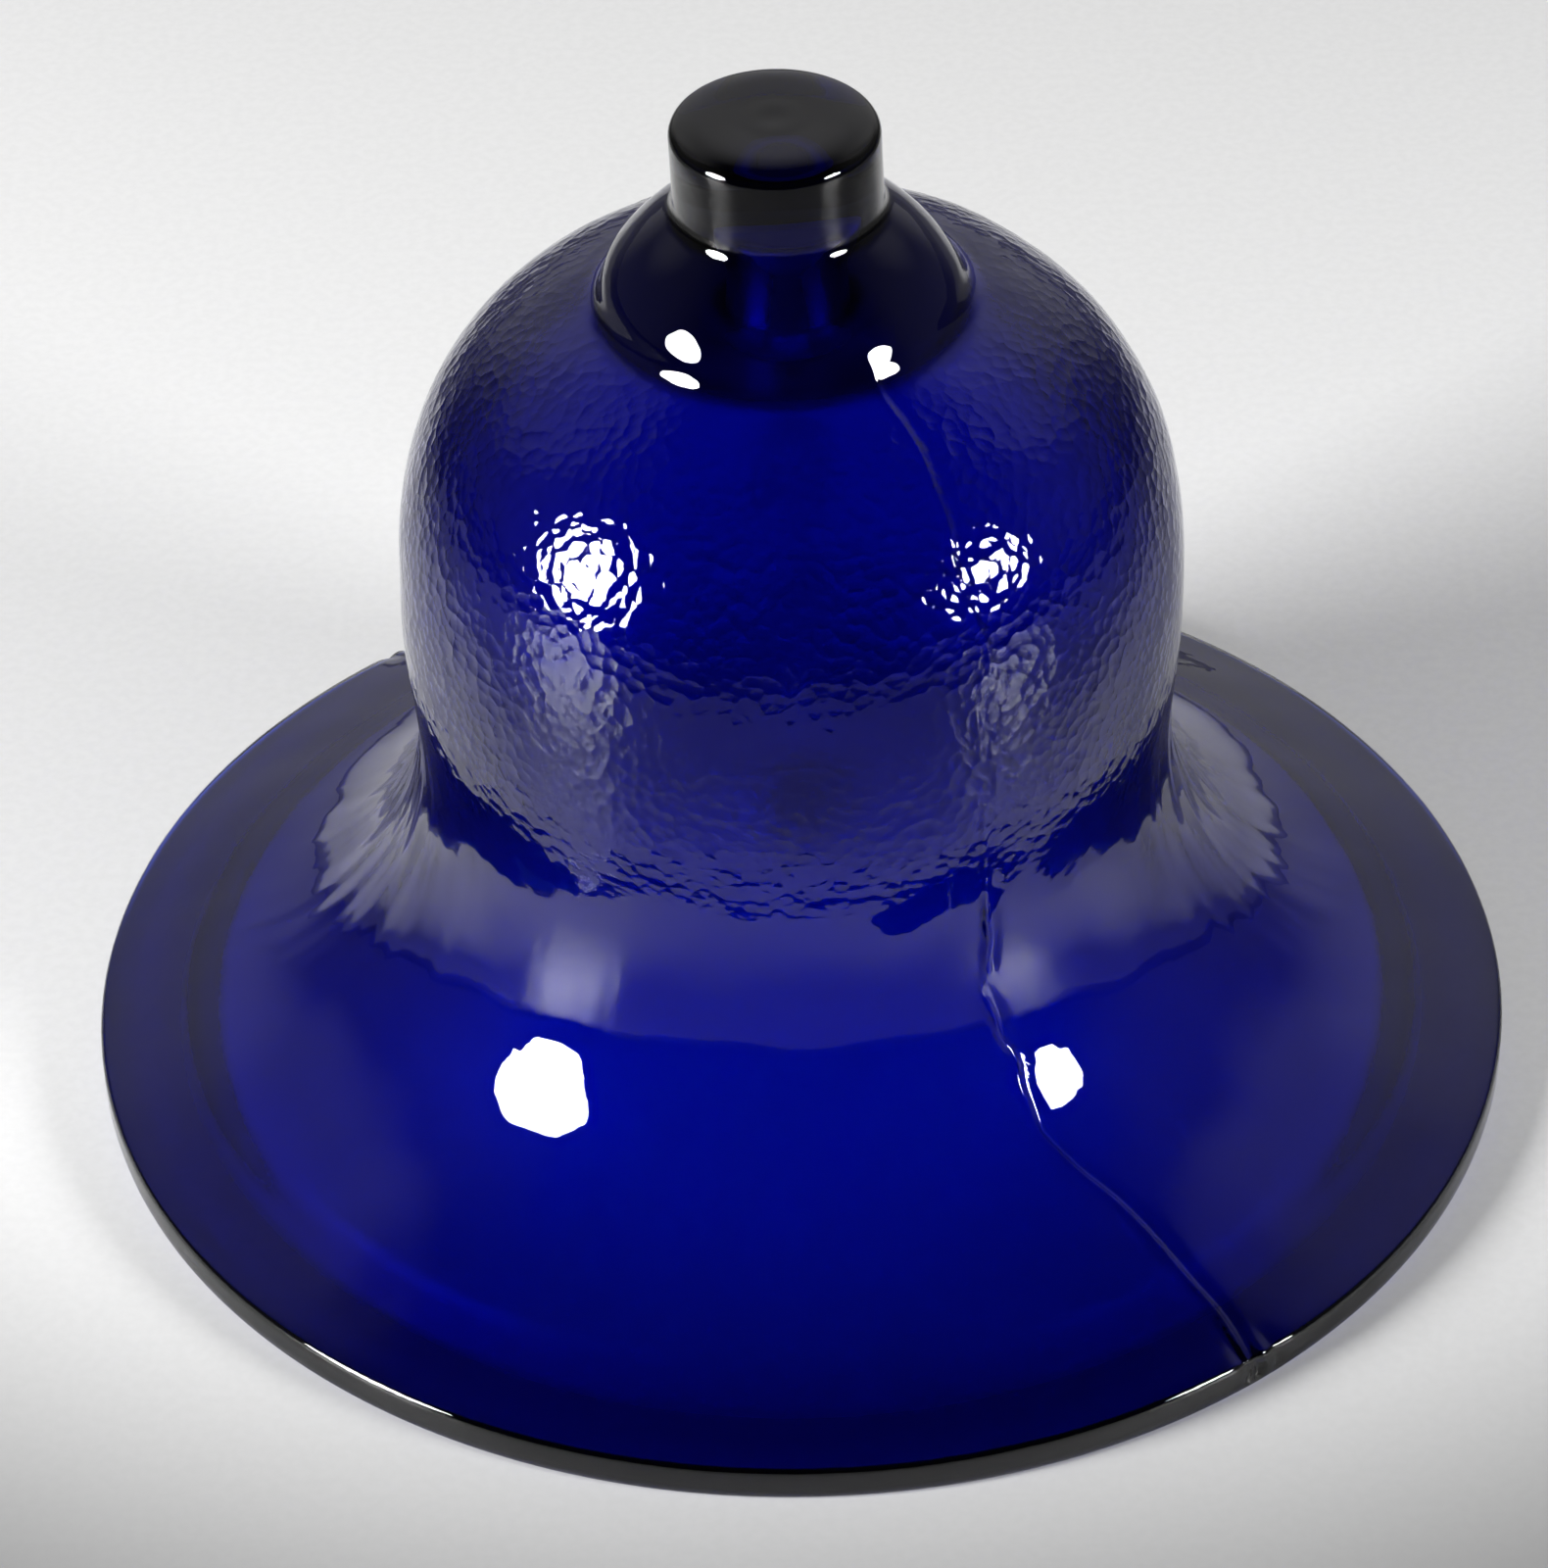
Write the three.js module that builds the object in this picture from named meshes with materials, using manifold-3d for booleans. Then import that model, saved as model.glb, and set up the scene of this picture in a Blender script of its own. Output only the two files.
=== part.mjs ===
// Pressed-glass hand bell with a solid pinch knob and a wide brim.
// A wire hanger is cemented into a socket in the crown. Five wire links hang from it and
// carry the clapper, a glass bead on an eye pin. Millimetres, +Z up, origin at the centre
// of the rim's flat underside.

import * as THREE from "three";
import { mergeVertices } from "three/addons/utils/BufferGeometryUtils.js";
import Module from "manifold-3d";

// Bell: overall
const HEIGHT = 105.5;
const RIM_RADIUS = 70;
const WALL = 4;
const TURN_STEPS = 48; // facets round the bell

// Bell: brim and rim. Slopes are the angle of the surface's normal above level, in degrees.
const BRIM_SLOPE = 69.5;
const EDGE_ROUND = 0.8;
const FOOT_WIDTH = 8.7; // flat ring under the rim
const FOOT_RISE_WIDTH = 4.8; // from the flat ring in to the brim's underside
const FOOT_RISE_PULL = 2; // how far that rise keeps each end's slope

// Bell: flare, waist and dome
const FLARE_RADIUS = 30.8;
const WAIST_RADIUS = 36.5;
const WAIST_Z = 37.5;
const SIDE_PULL = 0.4; // how far the side keeps upright at each end, as a share of its height
// Each dome face: radius and height at its widest, rise from there to the crown, and fullness,
// where 2 is an ellipse and more is squarer in the shoulder.
const DOME_OUTSIDE = { radius: 37.3, z: 52, rise: 35.6, fullness: 2.75 };
const DOME_INSIDE = { radius: 33.3, z: 51, rise: 32, fullness: 2.4 };

// Bell: neck and knob
const NECK_TOP_Z = 97.4;
const NECK_FILLET = 2.5;
const NECK_SHOULDER_SLOPE = 52; // at the fillet's end
const NECK_SHOULDER_PULL = 3.2; // how far the neck keeps that slope
const NECK_BEND_RADIUS = 16.5; // steepest point
const NECK_BEND_Z = 88.6;
const NECK_BEND_SLOPE = 20;
const NECK_FOOT_RADIUS = 19;
const NECK_FOOT_SLOPE = 72; // where the neck meets the dome
const NECK_PULL = 1.6; // how far the neck keeps the slope at the bend and the foot
const KNOB_RADIUS = 9.7;
const KNOB_FLAT_RADIUS = 6.1;
const KNOB_CROWN_SLOPE = 18; // fall of the crowned top where its edge round begins
const KNOB_ROUND = 1.4;

// Socket in the crown, and its plaster
const GAP = 0.3; // between pieces that touch
const SOCKET_RADIUS = 4;
const SOCKET_TOP = 95;
const PLASTER_BOTTOM = 84;

// Hanger
const HANGER_WIRE = 1.6;
const HANGER_RING = 3; // ring radius, to the wire's centre
const HANGER_Z = 79.2; // ring centre
const HANGER_LEG_X = 0.95;
const HANGER_TOP = 94;
const HANGER_LEAVE = 50; // where each leg joins the ring, in degrees above level
const HANGER_SPREAD = 2.4; // height of the bend from a leg to the ring
const BEND_PULL = 1; // how far a bend in the wire keeps each end's direction

// Chain
const LINK_COUNT = 5;
const LINK_WIRE = 1.3;
const LINK_LENGTH = 10;
const LINK_WIDTH = 6;
const BUTT_GAP = 0.12; // slit where the two ends of a link's wire meet

// Clapper
const PIN_WIRE = 1.3;
const EYE_RING = 2.1; // ring radius, to the wire's centre
const EYE_JOIN = -50; // angle where the shank's bend meets the eye, in degrees
const EYE_CLOSE = 210; // angle where the eye's wire ends
const EYE_PULL = 0.75; // how far that bend keeps each end's direction
const PIN_NECK = 3.2; // from the eye's centre down to the straight shank
const BEAD_RADIUS = 8.5;
const BEAD_FLAT_Z = 8.1; // flats round the bead's bore, above and below its centre
const BEAD_DROP = 11.4; // from the eye's centre down to the bead's centre
const WASHER_RADIUS = 2.4;
const WASHER_THICK = 0.5;
const HEAD_RADIUS = 1.5;
const HEAD_THICK = 0.8;

const wasm = await Module();
wasm.setup();

const glass = new THREE.MeshStandardMaterial({ color: 0x0a148c, roughness: 0.06, metalness: 0 });
const plaster = new THREE.MeshStandardMaterial({ color: 0xd9d3c4, roughness: 0.9, metalness: 0 });
const nickel = new THREE.MeshStandardMaterial({ color: 0xb4b2aa, roughness: 0.3, metalness: 1 });

const radians = (degrees) => THREE.MathUtils.degToRad(degrees);

/** Points on an arc about (r, z), from one angle to another, in degrees. */
function arc(r, z, radius, from, to, steps) {
  const points = [];
  for (let i = 0; i <= steps; i++) {
    const angle = radians(from + ((to - from) * i) / steps);
    points.push(new THREE.Vector2(r + radius * Math.cos(angle), z + radius * Math.sin(angle)));
  }
  return points;
}

/** A profile's points with each repeated point left out. */
function joined(...stretches) {
  return stretches.flat().filter((point, i, all) => i === 0 || point.distanceTo(all[i - 1]) > 1e-6);
}

/** A solid turned about Z. Its profile runs down the outside, then up the inside or along the axis. */
function turned(profile, steps) {
  return new THREE.LatheGeometry([...profile].reverse(), steps).rotateX(Math.PI / 2);
}

/** A dome face's outline from a given radius on its top down to its widest point. */
function domeProfile({ radius, z, rise, fullness }, topRadius, steps) {
  const power = 2 / fullness;
  const lift = Math.acos((topRadius / radius) ** (1 / power));
  const points = [];
  for (let i = steps; i >= 0; i--) {
    const angle = (lift * i) / steps;
    const height = z + rise * Math.sin(angle) ** power;
    points.push(new THREE.Vector2(radius * Math.cos(angle) ** power, height));
  }
  return points;
}

/** The wall's outline from the dome's top down to the brim, `inset` in from the outer surface. */
function wallProfile(dome, inset, topRadius) {
  const side = new THREE.CubicBezierCurve(
    new THREE.Vector2(dome.radius, dome.z),
    new THREE.Vector2(dome.radius, THREE.MathUtils.lerp(dome.z, WAIST_Z, SIDE_PULL)),
    new THREE.Vector2(WAIST_RADIUS - inset, THREE.MathUtils.lerp(WAIST_Z, dome.z, SIDE_PULL)),
    new THREE.Vector2(WAIST_RADIUS - inset, WAIST_Z),
  ).getPoints(5);
  const flareCentre = WAIST_RADIUS + FLARE_RADIUS;
  const flare = arc(flareCentre, WAIST_Z, FLARE_RADIUS + inset, 180, 180 + BRIM_SLOPE, 9);
  return joined(domeProfile(dome, topRadius, 10), side, flare);
}

/** The way a surface falls outwards, where its normal is `slope` degrees above level. */
function fall(slope, length) {
  const angle = radians(slope);
  return new THREE.Vector2(Math.sin(angle), -Math.cos(angle)).multiplyScalar(length);
}

/** The knob's crowned top and its edge round. */
function knobProfile() {
  const slope = radians(KNOB_CROWN_SLOPE);
  const roundRadius = KNOB_RADIUS - KNOB_ROUND;
  const crown = (roundRadius + KNOB_ROUND * Math.sin(slope) - KNOB_FLAT_RADIUS) / Math.sin(slope);
  const roundZ = HEIGHT - crown * (1 - Math.cos(slope)) - KNOB_ROUND * Math.cos(slope);
  return joined(
    [new THREE.Vector2(0, HEIGHT)],
    arc(KNOB_FLAT_RADIUS, HEIGHT - crown, crown, 90, 90 - KNOB_CROWN_SLOPE, 3),
    arc(roundRadius, roundZ, KNOB_ROUND, 90 - KNOB_CROWN_SLOPE, 0, 4),
  );
}

/** From the knob's side: a fillet, a sloping shoulder, a steeper side and the turn onto the dome. */
function neckProfile() {
  const filletEnd = 180 + NECK_SHOULDER_SLOPE;
  const fillet = arc(KNOB_RADIUS + NECK_FILLET, NECK_TOP_Z, NECK_FILLET, 180, filletEnd, 4);
  const top = fillet.at(-1);
  const bend = new THREE.Vector2(NECK_BEND_RADIUS, NECK_BEND_Z);
  const foot = domeProfile(DOME_OUTSIDE, NECK_FOOT_RADIUS, 1)[0];
  const turn = fall(NECK_BEND_SLOPE, NECK_PULL);
  const shoulder = new THREE.CubicBezierCurve(
    top,
    top.clone().add(fall(NECK_SHOULDER_SLOPE, NECK_SHOULDER_PULL)),
    bend.clone().sub(turn),
    bend,
  ).getPoints(4);
  const side = new THREE.CubicBezierCurve(
    bend,
    bend.clone().add(turn),
    foot.clone().sub(fall(NECK_FOOT_SLOPE, NECK_PULL)),
    foot,
  ).getPoints(4);
  return joined(fillet, shoulder, side);
}

function bellGeometry() {
  const outside = wallProfile(DOME_OUTSIDE, 0, NECK_FOOT_RADIUS);
  const inside = wallProfile(DOME_INSIDE, WALL, SOCKET_RADIUS);

  const brimFall = 1 / Math.tan(radians(BRIM_SLOPE)); // drop for each mm outward
  const brimTop = outside.at(-1);
  const edgeCentre = RIM_RADIUS - EDGE_ROUND;
  const edgeLip = edgeCentre + EDGE_ROUND * Math.cos(radians(BRIM_SLOPE));
  const edgeZ = brimTop.y - (edgeLip - brimTop.x) * brimFall - EDGE_ROUND * Math.sin(radians(BRIM_SLOPE));
  const footRadius = RIM_RADIUS - FOOT_WIDTH;
  const riseRadius = footRadius - FOOT_RISE_WIDTH;
  const riseZ = inside.at(-1).y - (riseRadius - inside.at(-1).x) * brimFall;
  const footRise = new THREE.CubicBezierCurve(
    new THREE.Vector2(footRadius, 0),
    new THREE.Vector2(footRadius - FOOT_RISE_PULL, 0),
    new THREE.Vector2(riseRadius + FOOT_RISE_PULL, riseZ - FOOT_RISE_PULL * brimFall),
    new THREE.Vector2(riseRadius, riseZ),
  ).getPoints(6);

  return turned(
    joined(
      knobProfile(),
      neckProfile(),
      outside,
      arc(edgeCentre, edgeZ, EDGE_ROUND, BRIM_SLOPE, 0, 2),
      arc(edgeCentre, EDGE_ROUND, EDGE_ROUND, 0, -90, 2),
      footRise,
      inside.reverse(),
      [new THREE.Vector2(SOCKET_RADIUS, SOCKET_TOP), new THREE.Vector2(0, SOCKET_TOP)],
    ),
    TURN_STEPS,
  );
}

/** A flat path, read as a curve in the XZ plane. */
class FlatWire extends THREE.Curve {
  constructor(path) {
    super();
    this.path = path;
  }
  getPoint(t, target = new THREE.Vector3()) {
    const point = this.path.getPoint(t);
    return target.set(point.x, 0, point.y);
  }
}

/** Round wire bent along a flat path. */
function wire(path, diameter, steps) {
  const section = new THREE.Shape(arc(0, 0, diameter / 2, 0, 315, 7));
  return new THREE.ExtrudeGeometry(section, { steps, extrudePath: new FlatWire(path) });
}

/** Two legs that part into a ring: straight down, round the ring and straight up again. */
function hangerGeometry() {
  const joinX = HANGER_RING * Math.cos(radians(HANGER_LEAVE));
  const joinZ = HANGER_Z + HANGER_RING * Math.sin(radians(HANGER_LEAVE));
  const pullX = BEND_PULL * Math.sin(radians(HANGER_LEAVE));
  const pullZ = BEND_PULL * Math.cos(radians(HANGER_LEAVE));
  const legZ = joinZ + HANGER_SPREAD;
  const path = new THREE.Path();
  path.moveTo(HANGER_LEG_X, HANGER_TOP);
  path.lineTo(HANGER_LEG_X, legZ);
  path.bezierCurveTo(HANGER_LEG_X, legZ - BEND_PULL, joinX - pullX, joinZ + pullZ, joinX, joinZ);
  path.absarc(0, HANGER_Z, HANGER_RING, radians(HANGER_LEAVE), radians(-180 - HANGER_LEAVE), true);
  path.bezierCurveTo(-joinX + pullX, joinZ + pullZ, -HANGER_LEG_X, legZ - BEND_PULL, -HANGER_LEG_X, legZ);
  path.lineTo(-HANGER_LEG_X, HANGER_TOP);
  return wire(path, HANGER_WIRE, 44);
}

/** Plaster round the hanger's legs. */
function plasterGeometry() {
  const slotRadius = HANGER_WIRE / 2 + GAP;
  const disc = new THREE.Shape(arc(0, 0, SOCKET_RADIUS - GAP, 0, 345, 23));
  disc.holes.push(
    new THREE.Path([
      ...arc(-HANGER_LEG_X, 0, slotRadius, 90, 270, 6),
      ...arc(HANGER_LEG_X, 0, slotRadius, -90, 90, 6),
    ]),
  );
  const depth = SOCKET_TOP - GAP - PLASTER_BOTTOM;
  return new THREE.ExtrudeGeometry(disc, { depth, bevelEnabled: false });
}

/** A long round-ended link about its own centre, with its wire's ends butted on one leg. */
function linkGeometry() {
  const bend = (LINK_WIDTH - LINK_WIRE) / 2;
  const leg = (LINK_LENGTH - LINK_WIRE) / 2 - bend;
  const path = new THREE.Path();
  path.moveTo(bend, BUTT_GAP / 2);
  path.lineTo(bend, leg);
  path.absarc(0, leg, bend, 0, Math.PI, false);
  path.lineTo(-bend, -leg);
  path.absarc(0, -leg, bend, Math.PI, 2 * Math.PI, false);
  path.lineTo(bend, -BUTT_GAP / 2);
  return wire(path, LINK_WIRE, 32);
}

/** A closed geometry as a solid, for a join. */
function solid(geometry) {
  const bare = geometry.clone();
  bare.deleteAttribute("normal");
  bare.deleteAttribute("uv");
  const merged = mergeVertices(bare, 1e-5);
  const mesh = new wasm.Mesh({
    numProp: 3,
    vertProperties: new Float32Array(merged.attributes.position.array),
    triVerts: new Uint32Array(merged.index.array),
  });
  return new wasm.Manifold(mesh);
}

function fromSolid(shape) {
  const { vertProperties, triVerts } = shape.getMesh();
  const geometry = new THREE.BufferGeometry();
  geometry.setAttribute("position", new THREE.BufferAttribute(vertProperties, 3));
  geometry.setIndex(new THREE.BufferAttribute(triVerts, 1));
  return geometry;
}

// Heights on the clapper, from its eye's centre.
const BEAD_BASE = -BEAD_DROP - BEAD_FLAT_Z;
const WASHER_BASE = BEAD_BASE - GAP - WASHER_THICK;
const HEAD_TOP = WASHER_BASE - GAP;

/** Eye and shank of bent wire, with the shank's end peened into a head. */
function eyePinGeometry() {
  const joinX = EYE_RING * Math.cos(radians(EYE_JOIN));
  const joinZ = EYE_RING * Math.sin(radians(EYE_JOIN));
  const pullX = EYE_PULL * Math.sin(radians(EYE_JOIN));
  const pullZ = EYE_PULL * Math.cos(radians(EYE_JOIN));
  const path = new THREE.Path();
  path.moveTo(0, HEAD_TOP - HEAD_THICK / 2);
  path.lineTo(0, -PIN_NECK);
  path.bezierCurveTo(0, -PIN_NECK + EYE_PULL, joinX + pullX, joinZ - pullZ, joinX, joinZ);
  path.absarc(0, 0, EYE_RING, radians(EYE_JOIN), radians(EYE_CLOSE), false);
  const head = turned(
    [
      new THREE.Vector2(0, HEAD_TOP),
      new THREE.Vector2(HEAD_RADIUS, HEAD_TOP),
      new THREE.Vector2(HEAD_RADIUS * 0.8, HEAD_TOP - HEAD_THICK * 0.75),
      new THREE.Vector2(0, HEAD_TOP - HEAD_THICK),
    ],
    16,
  );
  return fromSolid(solid(wire(path, PIN_WIRE, 48)).add(solid(head)));
}

const BORE_RADIUS = PIN_WIRE / 2 + GAP;

/** Bead bored through, with a flat at each end of the bore, about its own centre. */
function beadGeometry() {
  const flat = THREE.MathUtils.radToDeg(Math.asin(BEAD_FLAT_Z / BEAD_RADIUS));
  const top = new THREE.Vector2(BORE_RADIUS, BEAD_FLAT_Z);
  const base = new THREE.Vector2(BORE_RADIUS, -BEAD_FLAT_Z);
  return turned([top, ...arc(0, 0, BEAD_RADIUS, flat, -flat, 14), base, top.clone()], 24);
}

function washerGeometry() {
  const corner = (r, z) => new THREE.Vector2(r, z);
  const profile = [
    corner(BORE_RADIUS, WASHER_THICK),
    corner(WASHER_RADIUS, WASHER_THICK),
    corner(WASHER_RADIUS, 0),
    corner(BORE_RADIUS, 0),
    corner(BORE_RADIUS, WASHER_THICK),
  ];
  return turned(profile, 16);
}

const bell = new THREE.Group();

function place(name, geometry, material, z, turn = 0) {
  const mesh = new THREE.Mesh(geometry, material);
  mesh.name = name;
  mesh.position.z = z;
  mesh.rotation.z = radians(turn);
  bell.add(mesh);
}

place("glass_bell", bellGeometry(), glass, 0);
place("socket_plaster", plasterGeometry(), plaster, PLASTER_BOTTOM);
place("hanger_eye", hangerGeometry(), nickel, 0);

// Each piece hangs in the bend of the one above, a quarter turn round from it.
let wireAbove = HANGER_WIRE;
let bendAbove = HANGER_Z - HANGER_RING; // centre of the wire that the next piece hangs on
const linkReach = (LINK_LENGTH - LINK_WIRE) / 2;
for (let i = 1; i <= LINK_COUNT; i++) {
  const centre = bendAbove + (wireAbove + LINK_WIRE) / 2 + GAP - linkReach;
  place(`chain_link_${i}`, linkGeometry(), nickel, centre, i % 2 === 1 ? 90 : 0);
  wireAbove = LINK_WIRE;
  bendAbove = centre - linkReach;
}

const eyeZ = bendAbove + (LINK_WIRE + PIN_WIRE) / 2 + GAP - EYE_RING;
const clapperTurn = LINK_COUNT % 2 === 0 ? 90 : 0;
place("clapper_eye_pin", eyePinGeometry(), nickel, eyeZ, clapperTurn);
place("clapper_bead", beadGeometry(), glass, eyeZ - BEAD_DROP);
place("clapper_washer", washerGeometry(), nickel, eyeZ + WASHER_BASE);

export default bell;
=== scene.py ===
import math

import bpy
import numpy as np
from mathutils import Matrix, Vector


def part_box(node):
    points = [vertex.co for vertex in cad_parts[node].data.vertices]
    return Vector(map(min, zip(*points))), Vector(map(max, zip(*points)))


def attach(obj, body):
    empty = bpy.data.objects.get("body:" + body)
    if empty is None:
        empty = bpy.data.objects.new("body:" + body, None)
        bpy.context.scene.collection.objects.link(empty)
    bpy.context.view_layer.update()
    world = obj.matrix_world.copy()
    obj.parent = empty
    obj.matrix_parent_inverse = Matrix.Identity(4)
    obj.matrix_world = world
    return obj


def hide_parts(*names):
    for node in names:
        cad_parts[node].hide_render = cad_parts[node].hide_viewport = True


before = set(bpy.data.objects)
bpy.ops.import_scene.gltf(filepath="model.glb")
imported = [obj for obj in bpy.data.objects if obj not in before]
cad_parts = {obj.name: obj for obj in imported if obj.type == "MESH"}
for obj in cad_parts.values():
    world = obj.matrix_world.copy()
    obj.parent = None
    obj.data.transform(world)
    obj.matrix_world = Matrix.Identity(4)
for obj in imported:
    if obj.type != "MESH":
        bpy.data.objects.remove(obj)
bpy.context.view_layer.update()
MM = 0.001

# ---------------------------------------------------------------- camera
# Azimuths are measured round +Z from the front, which is -Y, towards +X.

CAMERA_DISTANCE = 0.6187
CAMERA_ELEVATION = math.radians(38.1)
CAMERA_ROLL = math.radians(-1.23)
CAMERA_LENS = 146.25
CAMERA_AIM = Vector((0, 0, 0.035))
CAMERA_SLIDE = (-2.05 * MM, -5.08 * MM)  # where the view's centre lies from the aim, right and up


def direction(azimuth, elevation):
    """Unit vector from the origin, for angles in degrees."""
    a, e = math.radians(azimuth), math.radians(elevation)
    return Vector((math.sin(a) * math.cos(e), -math.cos(a) * math.cos(e), math.sin(e)))


def make_camera():
    back = direction(0, math.degrees(CAMERA_ELEVATION))
    right = Vector((1, 0, 0))
    up = back.cross(right)
    turn_right = right * math.cos(CAMERA_ROLL) + up * math.sin(CAMERA_ROLL)
    turn_up = up * math.cos(CAMERA_ROLL) - right * math.sin(CAMERA_ROLL)
    place = CAMERA_AIM + back * CAMERA_DISTANCE
    centre = CAMERA_AIM + turn_right * CAMERA_SLIDE[0] + turn_up * CAMERA_SLIDE[1]
    back = (place - centre).normalized()
    turn_right = (turn_right - back * turn_right.dot(back)).normalized()
    turn_up = back.cross(turn_right)
    data = bpy.data.cameras.new("camera")
    data.lens = CAMERA_LENS
    data.sensor_width = 36
    camera = bpy.data.objects.new("camera", data)
    axes = Matrix((turn_right, turn_up, back)).transposed().to_4x4()
    camera.matrix_world = Matrix.Translation(place) @ axes
    bpy.context.scene.collection.objects.link(camera)
    bpy.context.scene.camera = camera


make_camera()

# ---------------------------------------------------------------- node helpers


class Nodes:
    """Adds nodes to a tree. Any input may be a value or another node's output."""

    def __init__(self, tree):
        self.tree = tree

    def add(self, kind, inputs=None, **settings):
        node = self.tree.nodes.new(kind)
        for name, value in settings.items():
            setattr(node, name, value)
        for name, value in (inputs or {}).items():
            if isinstance(value, bpy.types.NodeSocket):
                self.tree.links.new(value, node.inputs[name])
            else:
                node.inputs[name].default_value = value
        return node

    def maths(self, operation, a, b):
        return self.add("ShaderNodeMath", {0: a, 1: b}, operation=operation).outputs[0]

    def step(self, value, low, high, to_low=0.0, to_high=1.0):
        """Goes smoothly from to_low to to_high as value goes from low to high."""
        node = self.add(
            "ShaderNodeMapRange",
            {"Value": value, 1: low, 2: high, 3: to_low, 4: to_high},
            interpolation_type="SMOOTHSTEP",
        )
        return node.outputs[0]

    def noise(self, where, scale, detail=3.0, roughness=0.5, distortion=0.0):
        node = self.add(
            "ShaderNodeTexNoise",
            {
                "Vector": where,
                "Scale": scale,
                "Detail": detail,
                "Roughness": roughness,
                "Distortion": distortion,
            },
        )
        return node.outputs[0]

    def blend(self, share, a, b):
        node = self.add("ShaderNodeMix", data_type="RGBA")
        for socket, value in ((node.inputs[0], share), (node.inputs[6], a), (node.inputs[7], b)):
            if isinstance(value, bpy.types.NodeSocket):
                self.tree.links.new(value, socket)
            else:
                socket.default_value = value
        return node.outputs[2]

    def bump(self, height, distance, under=None):
        inputs = {"Height": height, "Distance": distance, "Strength": 1.0}
        if under is not None:
            inputs["Normal"] = under
        return self.add("ShaderNodeBump", inputs).outputs[0]


def new_material(name):
    material = bpy.data.materials.new(name)
    material.use_nodes = True
    material.node_tree.nodes.clear()
    nodes = Nodes(material.node_tree)
    output = nodes.add("ShaderNodeOutputMaterial")
    shader = nodes.add("ShaderNodeBsdfPrincipled")
    nodes.tree.links.new(shader.outputs[0], output.inputs["Surface"])
    where = nodes.add("ShaderNodeTexCoord").outputs["Object"]
    return material, nodes, shader, output, where


def feed(nodes, shader, **inputs):
    """Links or sets a shader's inputs; an underscore in a name stands for a space."""
    for name, value in inputs.items():
        socket = shader.inputs[name.replace("_", " ")]
        if isinstance(value, bpy.types.NodeSocket):
            nodes.tree.links.new(value, socket)
        else:
            socket.default_value = value


# ---------------------------------------------------------------- materials


TEXTURE = "texture"  # mesh layer: 1 on the outside of the dome, where the mould left its dents
INSIDE = "inside"  # mesh layer: 1 on the inner face, which is duller


def glass_material(name, tints, absorb_colour, absorb_density, dent, ripple, dull):
    """Coloured solid glass. A wall's surfaces pass a tint, and its depth absorbs the rest.
    dent is the depth and size of the dents where the TEXTURE layer is 1, ripple the same for the
    gentler unevenness all over, and dull the roughness where the INSIDE layer is 1."""
    material, nodes, shader, output, where = new_material(name)
    texture = nodes.add("ShaderNodeAttribute", attribute_name=TEXTURE).outputs["Fac"]
    inside = nodes.add("ShaderNodeAttribute", attribute_name=INSIDE).outputs["Fac"]
    colour = nodes.blend(nodes.step(nodes.noise(where, 60, 2), 0.35, 0.65), *tints)
    smear = nodes.noise(where, 220, 4, 0.6, 0.4)
    roughness = nodes.step(smear, 0.4, 0.75, 0.004, 0.03)
    roughness = nodes.maths("ADD", roughness, nodes.maths("MULTIPLY", inside, dull))

    depth, size = dent
    wobble = nodes.add("ShaderNodeTexNoise", {"Vector": where, "Scale": 0.6 / size}).outputs["Color"]
    offset = nodes.add("ShaderNodeVectorMath", {0: wobble, "Scale": 0.5 * size}, operation="SCALE")
    moved = nodes.add("ShaderNodeVectorMath", {0: where, 1: offset.outputs[0]}, operation="ADD")
    cells = nodes.add(
        "ShaderNodeTexVoronoi",
        {"Vector": moved.outputs[0], "Scale": 1 / size},
        feature="F1",
    ).outputs["Distance"]
    hollows = nodes.maths("MULTIPLY", cells, cells)
    normal = nodes.bump(nodes.maths("MULTIPLY", hollows, nodes.maths("MULTIPLY", texture, depth)), 1.0)
    normal = nodes.bump(nodes.noise(where, 1 / ripple[1], 2), ripple[0], under=normal)
    feed(nodes, shader, Base_Color=colour, Roughness=roughness, Normal=normal)
    feed(nodes, shader, IOR=1.52, Transmission_Weight=1.0)
    volume = nodes.add("ShaderNodeVolumeAbsorption")
    volume.inputs["Color"].default_value = absorb_colour
    volume.inputs["Density"].default_value = absorb_density
    nodes.tree.links.new(volume.outputs[0], output.inputs["Volume"])
    return material


cobalt = glass_material(
    "cobalt_glass",
    tints=((0.55, 0.62, 0.975, 1), (0.48, 0.57, 0.965, 1)),
    absorb_colour=(0.06, 0.35, 0.865, 1),
    absorb_density=820,
    dent=(0.00009, 0.0012),
    ripple=(0.00003, 0.004),
    dull=0.34,
)


def metal_material(name, clean, dull, tarnish):
    material, nodes, shader, output, where = new_material(name)
    patch = nodes.noise(where, 420, 5, 0.6)
    grain = nodes.noise(where, 2600, 3, 0.6)
    stain = nodes.step(nodes.noise(where, 900, 4, 0.65, 0.5), 0.48, 0.68)
    colour = nodes.blend(nodes.step(patch, 0.4, 0.65), clean, dull)
    colour = nodes.blend(stain, colour, tarnish)
    roughness = nodes.step(patch, 0.3, 0.7, 0.28, 0.5)
    feed(
        nodes,
        shader,
        Base_Color=colour,
        Roughness=roughness,
        Metallic=1.0,
        Normal=nodes.bump(grain, 0.00002),
    )
    return material


nickel_wire = metal_material(
    "nickel_wire", (0.72, 0.70, 0.66, 1), (0.56, 0.54, 0.50, 1), (0.30, 0.26, 0.21, 1)
)
nickel_sheet = metal_material(
    "nickel_sheet", (0.75, 0.73, 0.69, 1), (0.6, 0.58, 0.54, 1), (0.33, 0.29, 0.24, 1)
)


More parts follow.
